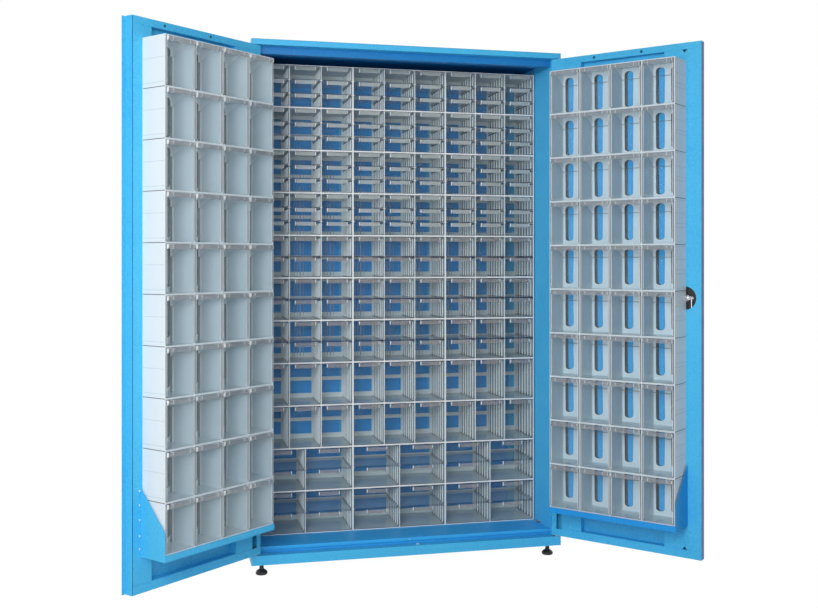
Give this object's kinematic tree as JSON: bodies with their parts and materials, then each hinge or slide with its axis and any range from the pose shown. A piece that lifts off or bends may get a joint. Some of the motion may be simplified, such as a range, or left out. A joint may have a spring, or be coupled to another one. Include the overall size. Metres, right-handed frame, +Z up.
{
  "type": "drawer cabinet",
  "caption": "Two-door steel cabinet packed with clear sliding drawers, with rows of clear tilting bins on both doors, rod lock and levelling feet.",
  "frame": {"origin": "on the floor, under the middle of the cabinet's front edge", "axes": "+X to the cabinet's right as seen from the front, +Y into the cabinet, +Z up"},
  "size_m": [2.0513, 0.9301, 2],
  "materials": {
    "blue_enamel": "satin",
    "white_frame": "satin",
    "grey_frame": "satin",
    "clear_plastic": "clear gloss",
    "zinc": "zinc plated",
    "brass": "dull",
    "black_foot": "matt",
    "black_handle": "satin"
  },
  "bodies": {
    "case": {"base_frame": "blue_enamel", "floor_panel": "blue_enamel", "side_panel_left": "blue_enamel", "side_panel_right": "blue_enamel", "back_panel": "blue_enamel", "ceiling_panel": "blue_enamel", "top_cap": "blue_enamel", "hook_rails": "blue_enamel", "hinge_pins": "brass", "frames_small": "white_frame", "frames_medium": "white_frame", "frames_tall": "white_frame", "frames_wide": "white_frame"},
    "left_door": {"door_left": "blue_enamel", "tray_left": "blue_enamel", "bin_frames_left": "grey_frame", "bin_frames_left_open": "grey_frame"},
    "right_door": {"door_right": "blue_enamel", "tray_right": "blue_enamel", "bin_frames_right": "grey_frame", "bin_frames_right_open": "grey_frame", "lock_dish": "black_handle"},
    "door_handle": {"lock_handle": "black_handle", "lock_crank": "zinc"},
    "upper_lock_rod": {"lock_rod_upper": "zinc"},
    "lower_lock_rod": {"lock_rod_lower": "zinc"},
    "foot_front_left": {"foot_front_left": "black_foot"},
    "foot_front_right": {"foot_front_right": "black_foot"},
    "foot_rear_left": {"foot_rear_left": "black_foot"},
    "foot_rear_right": {"foot_rear_right": "black_foot"},
    "drawers_small": {"drawers_small": "clear_plastic"},
    "drawers_medium": {"drawers_medium": "clear_plastic"},
    "drawers_tall": {"drawers_tall": "clear_plastic"},
    "drawers_wide": {"drawers_wide": "clear_plastic"},
    "drawer_small_upper": {"drawer_small_upper": "clear_plastic"},
    "drawer_small_lower": {"drawer_small_lower": "clear_plastic"},
    "drawer_medium": {"drawer_medium": "clear_plastic"},
    "drawer_tall": {"drawer_tall": "clear_plastic"},
    "drawer_wide_upper": {"drawer_wide_upper": "clear_plastic"},
    "drawer_wide_lower": {"drawer_wide_lower": "clear_plastic"},
    "bins_left_01": {"bins_left_01": "clear_plastic"},
    "bins_left_02": {"bins_left_02": "clear_plastic"},
    "bins_left_03": {"bins_left_03": "clear_plastic"},
    "bins_left_04": {"bins_left_04": "clear_plastic"},
    "bins_left_05": {"bins_left_05": "clear_plastic"},
    "bins_left_06": {"bins_left_06": "clear_plastic"},
    "bins_left_07": {"bins_left_07": "clear_plastic"},
    "bins_left_08": {"bins_left_08": "clear_plastic"},
    "bins_left_09": {"bins_left_09": "clear_plastic"},
    "bins_left_10": {"bins_left_10": "clear_plastic"},
    "bins_right_01": {"bins_right_01": "clear_plastic"},
    "bins_right_02": {"bins_right_02": "clear_plastic"},
    "bins_right_03": {"bins_right_03": "clear_plastic"},
    "bins_right_04": {"bins_right_04": "clear_plastic"},
    "bins_right_05": {"bins_right_05": "clear_plastic"},
    "bins_right_06": {"bins_right_06": "clear_plastic"},
    "bins_right_07": {"bins_right_07": "clear_plastic"},
    "bins_right_08": {"bins_right_08": "clear_plastic"},
    "bins_right_09": {"bins_right_09": "clear_plastic"},
    "bins_right_10": {"bins_right_10": "clear_plastic"}
  },
  "joints": [
    {"name": "left_door_hinge", "type": "hinge", "parent": "case", "child": "left_door", "pos_m": [-0.594, 0.012, 1.03], "axis": [0, 0, -1], "range_deg": [-139.26, 35.74]},
    {"name": "right_door_hinge", "type": "hinge", "parent": "case", "child": "right_door", "pos_m": [0.594, 0.012, 1.03], "axis": [0, 0, 1], "range_deg": [-130.64, 44.36]},
    {"name": "handle_turn", "type": "hinge", "parent": "right_door", "child": "door_handle", "pos_m": [0.95351, -0.38843, 1.038], "axis": [0.7588, 0.6513, 0], "range_deg": [0, 90]},
    {"name": "upper_rod_pivot", "type": "hinge", "parent": "door_handle", "child": "upper_lock_rod", "pos_m": [0.93853, -0.37097, 1.038], "axis": [0.7588, 0.6513, 0], "range_deg": [-95, 0]},
    {"name": "lower_rod_pivot", "type": "hinge", "parent": "door_handle", "child": "lower_lock_rod", "pos_m": [0.96849, -0.40588, 1.038], "axis": [0.7588, 0.6513, 0], "range_deg": [-95, 0]},
    {"name": "foot_front_left_screw", "type": "hinge", "parent": "case", "child": "foot_front_left", "pos_m": [-0.569, 0.042, 0.044], "axis": [0, 0, 1], "continuous": true},
    {"name": "foot_front_right_screw", "type": "hinge", "parent": "case", "child": "foot_front_right", "pos_m": [0.569, 0.042, 0.044], "axis": [0, 0, 1], "continuous": true},
    {"name": "foot_rear_left_screw", "type": "hinge", "parent": "case", "child": "foot_rear_left", "pos_m": [-0.569, 0.396, 0.044], "axis": [0, 0, 1], "continuous": true},
    {"name": "foot_rear_right_screw", "type": "hinge", "parent": "case", "child": "foot_rear_right", "pos_m": [0.569, 0.396, 0.044], "axis": [0, 0, 1], "continuous": true},
    {"name": "drawers_small_slide", "type": "slide", "parent": "case", "child": "drawers_small", "axis": [0, -1, 0], "range_m": [0, 0.175]},
    {"name": "drawers_medium_slide", "type": "slide", "parent": "case", "child": "drawers_medium", "axis": [0, -1, 0], "range_m": [0, 0.175]},
    {"name": "drawers_tall_slide", "type": "slide", "parent": "case", "child": "drawers_tall", "axis": [0, -1, 0], "range_m": [0, 0.175]},
    {"name": "drawers_wide_slide", "type": "slide", "parent": "case", "child": "drawers_wide", "axis": [0, -1, 0], "range_m": [0, 0.159]},
    {"name": "drawer_small_upper_slide", "type": "slide", "parent": "case", "child": "drawer_small_upper", "axis": [0, -1, 0], "range_m": [0, 0.175]},
    {"name": "drawer_small_lower_slide", "type": "slide", "parent": "case", "child": "drawer_small_lower", "axis": [0, -1, 0], "range_m": [0, 0.175]},
    {"name": "drawer_medium_slide", "type": "slide", "parent": "case", "child": "drawer_medium", "axis": [0, -1, 0], "range_m": [0, 0.175]},
    {"name": "drawer_tall_slide", "type": "slide", "parent": "case", "child": "drawer_tall", "axis": [0, -1, 0], "range_m": [0, 0.175]},
    {"name": "drawer_wide_upper_slide", "type": "slide", "parent": "case", "child": "drawer_wide_upper", "axis": [0, -1, 0], "range_m": [0, 0.159]},
    {"name": "drawer_wide_lower_slide", "type": "slide", "parent": "case", "child": "drawer_wide_lower", "axis": [0, -1, 0], "range_m": [0, 0.159]},
    {"name": "bins_left_01_tilt", "type": "hinge", "parent": "left_door", "child": "bins_left_01", "pos_m": [-0.73412, -0.27275, 1.7451], "axis": [0.7577, 0.6526, 0], "range_deg": [0, 38]},
    {"name": "bins_left_02_tilt", "type": "hinge", "parent": "left_door", "child": "bins_left_02", "pos_m": [-0.73412, -0.27275, 1.577], "axis": [0.7577, 0.6526, 0], "range_deg": [0, 38]},
    {"name": "bins_left_03_tilt", "type": "hinge", "parent": "left_door", "child": "bins_left_03", "pos_m": [-0.73412, -0.27275, 1.4089], "axis": [0.7577, 0.6526, 0], "range_deg": [0, 38]},
    {"name": "bins_left_04_tilt", "type": "hinge", "parent": "left_door", "child": "bins_left_04", "pos_m": [-0.73412, -0.27275, 1.2408], "axis": [0.7577, 0.6526, 0], "range_deg": [0, 38]},
    {"name": "bins_left_05_tilt", "type": "hinge", "parent": "left_door", "child": "bins_left_05", "pos_m": [-0.73412, -0.27275, 1.0727], "axis": [0.7577, 0.6526, 0], "range_deg": [0, 38]},
    {"name": "bins_left_06_tilt", "type": "hinge", "parent": "left_door", "child": "bins_left_06", "pos_m": [-0.73412, -0.27275, 0.9046], "axis": [0.7577, 0.6526, 0], "range_deg": [0, 38]},
    {"name": "bins_left_07_tilt", "type": "hinge", "parent": "left_door", "child": "bins_left_07", "pos_m": [-0.73412, -0.27275, 0.7365], "axis": [0.7577, 0.6526, 0], "range_deg": [0, 38]},
    {"name": "bins_left_08_tilt", "type": "hinge", "parent": "left_door", "child": "bins_left_08", "pos_m": [-0.73412, -0.27275, 0.5684], "axis": [0.7577, 0.6526, 0], "range_deg": [0, 38]},
    {"name": "bins_left_09_tilt", "type": "hinge", "parent": "left_door", "child": "bins_left_09", "pos_m": [-0.73412, -0.27275, 0.4003], "axis": [0.7577, 0.6526, 0], "range_deg": [0, 38]},
    {"name": "bins_left_10_tilt", "type": "hinge", "parent": "left_door", "child": "bins_left_10", "pos_m": [-0.73412, -0.27275, 0.2322], "axis": [0.7577, 0.6526, 0], "range_deg": [0, 38]},
    {"name": "bins_right_01_tilt", "type": "hinge", "parent": "right_door", "child": "bins_right_01", "pos_m": [0.68986, -0.29053, 1.7451], "axis": [0.6513, -0.7588, 0], "range_deg": [0, 38]},
    {"name": "bins_right_02_tilt", "type": "hinge", "parent": "right_door", "child": "bins_right_02", "pos_m": [0.68986, -0.29053, 1.577], "axis": [0.6513, -0.7588, 0], "range_deg": [0, 38]},
    {"name": "bins_right_03_tilt", "type": "hinge", "parent": "right_door", "child": "bins_right_03", "pos_m": [0.68986, -0.29053, 1.4089], "axis": [0.6513, -0.7588, 0], "range_deg": [0, 38]},
    {"name": "bins_right_04_tilt", "type": "hinge", "parent": "right_door", "child": "bins_right_04", "pos_m": [0.68986, -0.29053, 1.2408], "axis": [0.6513, -0.7588, 0], "range_deg": [0, 38]},
    {"name": "bins_right_05_tilt", "type": "hinge", "parent": "right_door", "child": "bins_right_05", "pos_m": [0.68986, -0.29053, 1.0727], "axis": [0.6513, -0.7588, 0], "range_deg": [0, 38]},
    {"name": "bins_right_06_tilt", "type": "hinge", "parent": "right_door", "child": "bins_right_06", "pos_m": [0.68986, -0.29053, 0.9046], "axis": [0.6513, -0.7588, 0], "range_deg": [0, 38]},
    {"name": "bins_right_07_tilt", "type": "hinge", "parent": "right_door", "child": "bins_right_07", "pos_m": [0.68986, -0.29053, 0.7365], "axis": [0.6513, -0.7588, 0], "range_deg": [0, 38]},
    {"name": "bins_right_08_tilt", "type": "hinge", "parent": "right_door", "child": "bins_right_08", "pos_m": [0.68986, -0.29053, 0.5684], "axis": [0.6513, -0.7588, 0], "range_deg": [0, 38]},
    {"name": "bins_right_09_tilt", "type": "hinge", "parent": "right_door", "child": "bins_right_09", "pos_m": [0.68986, -0.29053, 0.4003], "axis": [0.6513, -0.7588, 0], "range_deg": [0, 38]},
    {"name": "bins_right_10_tilt", "type": "hinge", "parent": "right_door", "child": "bins_right_10", "pos_m": [0.68986, -0.29053, 0.2322], "axis": [0.6513, -0.7588, 0], "range_deg": [0, 38]}
  ],
  "couplings": [
    {"joint": "upper_rod_pivot", "follows": "handle_turn", "ratio": -1.0165},
    {"joint": "lower_rod_pivot", "follows": "handle_turn", "ratio": -1.0162}
  ]
}
